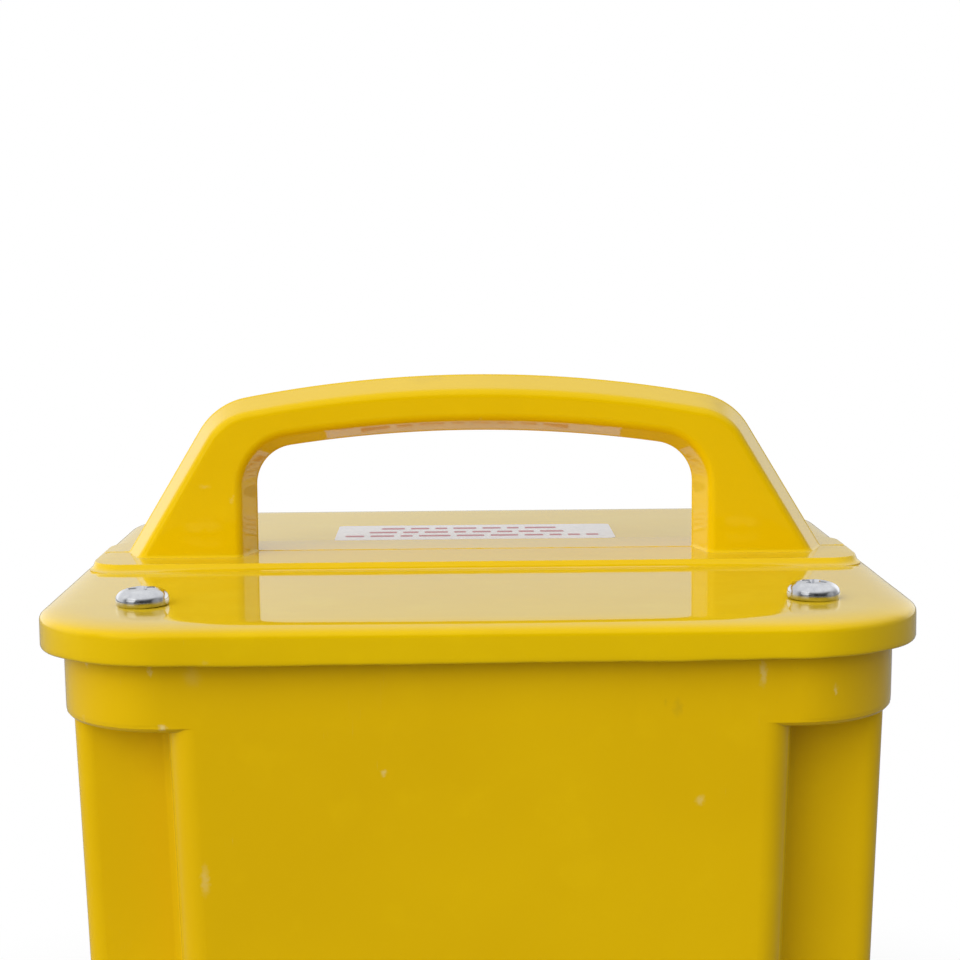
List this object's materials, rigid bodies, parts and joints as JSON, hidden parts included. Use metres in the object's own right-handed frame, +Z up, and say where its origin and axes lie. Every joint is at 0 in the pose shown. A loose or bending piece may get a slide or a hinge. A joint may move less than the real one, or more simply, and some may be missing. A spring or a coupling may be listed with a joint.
{
  "type": "portable site transformer",
  "caption": "Portable safety transformer in a yellow moulded box with a screwed lid, an arch carrying handle, flap-covered outlets and a plug-in supply cable.",
  "frame": {"origin": "on the floor, under the middle of the box", "axes": "+Z up, +Y out of the operating panel with the outlets, X along the handle"},
  "size_m": [0.25, 0.4215, 0.3392],
  "materials": {
    "yellow_moulding": "glossy self-coloured glass-reinforced polyester moulding",
    "label_white": "white printed vinyl label",
    "zinc_bright": "bright zinc-plated steel",
    "steel_plate": "plain zinc-plated steel plate",
    "brass": "turned brass",
    "black_rubber": "moulded black rubber",
    "grey_sealing": "sealing foam",
    "lamination": "stacked and varnished silicon steel laminations",
    "copper_winding": "enamelled copper wire",
    "insulation_paper": "varnished insulation paper",
    "former_plastic": "glass-filled nylon",
    "outlet_yellow": "yellow 110 V outlet plastic",
    "black_plastic": "black engineering plastic",
    "button_red": "red push button",
    "white_plastic": "white terminal plastic",
    "rating_plate": "plain anodised plate",
    "lead_brown": "insulated lead"
  },
  "bodies": {
    "case": {"body_shell": "yellow_moulding", "breaker_body": "black_plastic", "breaker_ring_nut": "zinc_bright", "cable_grip": "former_plastic", "clamp_bolts": "steel_plate", "clamp_frames": "steel_plate", "clamp_nuts": "steel_plate", "coil_former": "former_plastic", "coil_wrap": "insulation_paper", "contact_carriers": "black_plastic", "e_laminations": "lamination", "earth_stud": "brass", "flap_hinge_pins": "zinc_bright", "flap_springs": "zinc_bright", "floor_bolts": "zinc_bright", "floor_nuts": "steel_plate", "foot_screws": "zinc_bright", "gland_body": "black_plastic", "gland_dome_nut": "black_plastic", "gland_locknut": "black_plastic", "gland_seal": "black_rubber", "handle": "yellow_moulding", "handle_inserts": "brass", "handle_screws": "steel_plate", "handle_strap": "steel_plate", "i_laminations": "lamination", "lid": "yellow_moulding", "lid_gasket": "grey_sealing", "lid_inserts": "brass", "lid_label": "label_white", "lid_screws": "zinc_bright", "mains_leads": "lead_brown", "plug_base": "black_rubber", "plug_cover": "black_rubber", "plug_fuse": "white_plastic", "plug_pins": "brass", "plug_screw": "zinc_bright", "primary_winding": "copper_winding", "rating_label": "rating_plate", "reset_spring": "steel_plate", "rubber_feet": "black_rubber", "secondary_leads": "lead_brown", "secondary_winding": "copper_winding", "socket_contacts": "brass", "socket_gaskets": "grey_sealing", "socket_housings": "outlet_yellow", "socket_nuts": "steel_plate", "socket_screws": "zinc_bright", "supply_cable": "black_rubber", "terminal_block": "white_plastic", "terminal_screws": "brass", "winding_insulation": "insulation_paper"},
    "left_flap": {"left_flap": "outlet_yellow", "left_flap_seal": "black_rubber"},
    "right_flap": {"right_flap": "outlet_yellow", "right_flap_seal": "black_rubber"},
    "reset_button": {"reset_button": "button_red"}
  },
  "joints": [
    {"name": "left_flap_hinge", "type": "hinge", "parent": "case", "child": "left_flap", "pos_m": [0.04, 0.14754, 0.19797], "axis": [1, 0, 0], "range_deg": [0, 105], "stiffness_Nm_per_rad": 0.01},
    {"name": "right_flap_hinge", "type": "hinge", "parent": "case", "child": "right_flap", "pos_m": [-0.04, 0.14754, 0.19797], "axis": [1, 0, 0], "range_deg": [0, 105], "stiffness_Nm_per_rad": 0.01},
    {"name": "reset_press", "type": "slide", "parent": "case", "child": "reset_button", "axis": [0, -0.9996, 0.0279], "range_m": [0, 0.004], "stiffness_N_per_m": 400}
  ]
}
